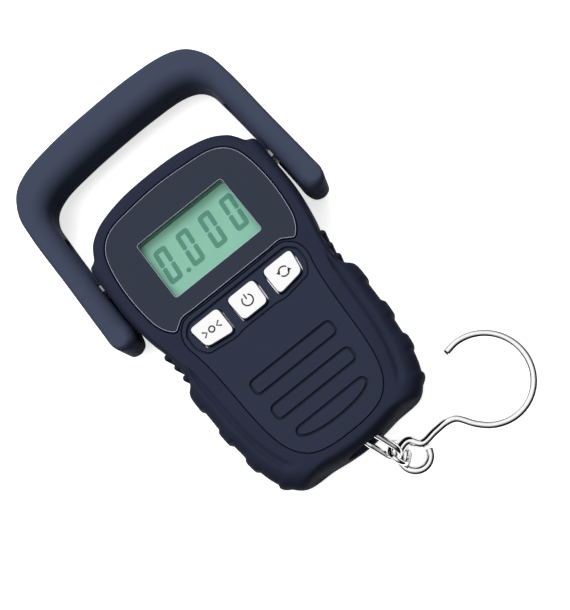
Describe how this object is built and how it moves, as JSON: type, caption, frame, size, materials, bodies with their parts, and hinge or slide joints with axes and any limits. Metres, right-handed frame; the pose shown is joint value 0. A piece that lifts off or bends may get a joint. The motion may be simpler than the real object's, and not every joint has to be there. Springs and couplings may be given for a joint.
{
  "type": "digital fish scale",
  "caption": "Hand-held digital hanging scale with a pill-shaped moulded body, a sliding U handle, push buttons under a display, and a short chain with an open hook.",
  "frame": {"origin": "middle of the body on the flat back that it rests on", "axes": "+X to the right of the display, +Y towards the handle, +Z out of the display"},
  "size_m": [0.1089, 0.1792, 0.0279],
  "materials": {
    "shell": "fine moulded texture, dark blue grey",
    "handle": "fine moulded texture, dark blue grey",
    "panel": "satin inlay, dark blue grey",
    "window": "polished, printed dark behind, clear over the display",
    "display": "green liquid crystal display with dark digits",
    "light": "diffuser",
    "button_chrome": "mirror plated moulding",
    "wire_chrome": "polished plated wire",
    "steel": "zinc plated",
    "spring_steel": "nickel plated",
    "aluminium": "milled",
    "board": "solder mask green",
    "rubber": "silicone, grey",
    "epoxy": "black potting",
    "cell": "plain grey sleeve"
  },
  "bodies": {
    "body": {"front_housing": "shell", "rear_housing": "shell", "display_window": "window", "front_panel": "panel", "keypad": "rubber", "housing_screw_1": "steel", "housing_screw_2": "steel", "housing_screw_3": "steel", "housing_screw_4": "steel", "circuit_board": "board", "lcd_glass": "display", "backlight": "light", "display_connector": "rubber", "controller_chip": "epoxy", "board_screw_left_1": "steel", "board_screw_left_2": "steel", "board_screw_right_1": "steel", "board_screw_right_2": "steel", "contact_negative": "spring_steel", "contact_positive": "spring_steel", "contact_bridge": "spring_steel", "battery_upper": "cell", "battery_lower": "cell", "load_beam": "aluminium", "beam_screw_left": "steel", "beam_screw_right": "steel", "strain_gauge_left": "rubber", "strain_gauge_right": "rubber", "load_eye": "steel", "load_nut": "steel"},
    "pins": {"handle_pin_right": "steel", "handle_pin_left": "steel"},
    "handle": {"handle_front_shell": "handle", "handle_rear_shell": "handle", "handle_screw_1": "steel", "handle_screw_2": "steel", "handle_screw_3": "steel", "handle_screw_4": "steel"},
    "tare_key": {"tare_button": "button_chrome"},
    "power_key": {"power_button": "button_chrome"},
    "unit_key": {"unit_button": "button_chrome"},
    "cover": {"battery_cover": "shell"},
    "upper_ring": {"upper_link": "wire_chrome"},
    "lower_ring": {"lower_link": "wire_chrome"},
    "hook": {"hook": "wire_chrome"}
  },
  "joints": [
    {"name": "handle_swing", "type": "hinge", "parent": "body", "child": "pins", "pos_m": [0, 0.0395, 0.0135], "axis": [1, 0, 0], "range_deg": [-90, 90]},
    {"name": "handle_slide", "type": "slide", "parent": "pins", "child": "handle", "axis": [-0.0332, 0.9995, 0], "range_m": [-0.02, 0.011]},
    {"name": "tare_press", "type": "slide", "parent": "body", "child": "tare_key", "axis": [0, 0, -1], "range_m": [0, 0.0008], "stiffness_N_per_m": 500},
    {"name": "power_press", "type": "slide", "parent": "body", "child": "power_key", "axis": [0, 0, -1], "range_m": [0, 0.0008], "stiffness_N_per_m": 500},
    {"name": "unit_press", "type": "slide", "parent": "body", "child": "unit_key", "axis": [0, 0, -1], "range_m": [0, 0.0008], "stiffness_N_per_m": 500},
    {"name": "cover_swing", "type": "hinge", "parent": "body", "child": "cover", "pos_m": [0, 0.0124, 0], "axis": [-1, 0, 0], "range_deg": [0, 85]},
    {"name": "upper_link_swing", "type": "hinge", "parent": "body", "child": "upper_ring", "pos_m": [0.00139, -0.05459, 0.013], "axis": [0.9061, 0.423, 0], "range_deg": [-15, 6]},
    {"name": "lower_link_swing", "type": "hinge", "parent": "upper_ring", "child": "lower_ring", "pos_m": [0.0065, -0.0686, 0.0092], "axis": [0.6, 0, 0.8], "range_deg": [-35, 6]},
    {"name": "hook_swing", "type": "hinge", "parent": "lower_ring", "child": "hook", "pos_m": [0.0108, -0.0713, 0.0046], "axis": [0.0624, 0, 0.9981], "range_deg": [-120, 3]}
  ]
}
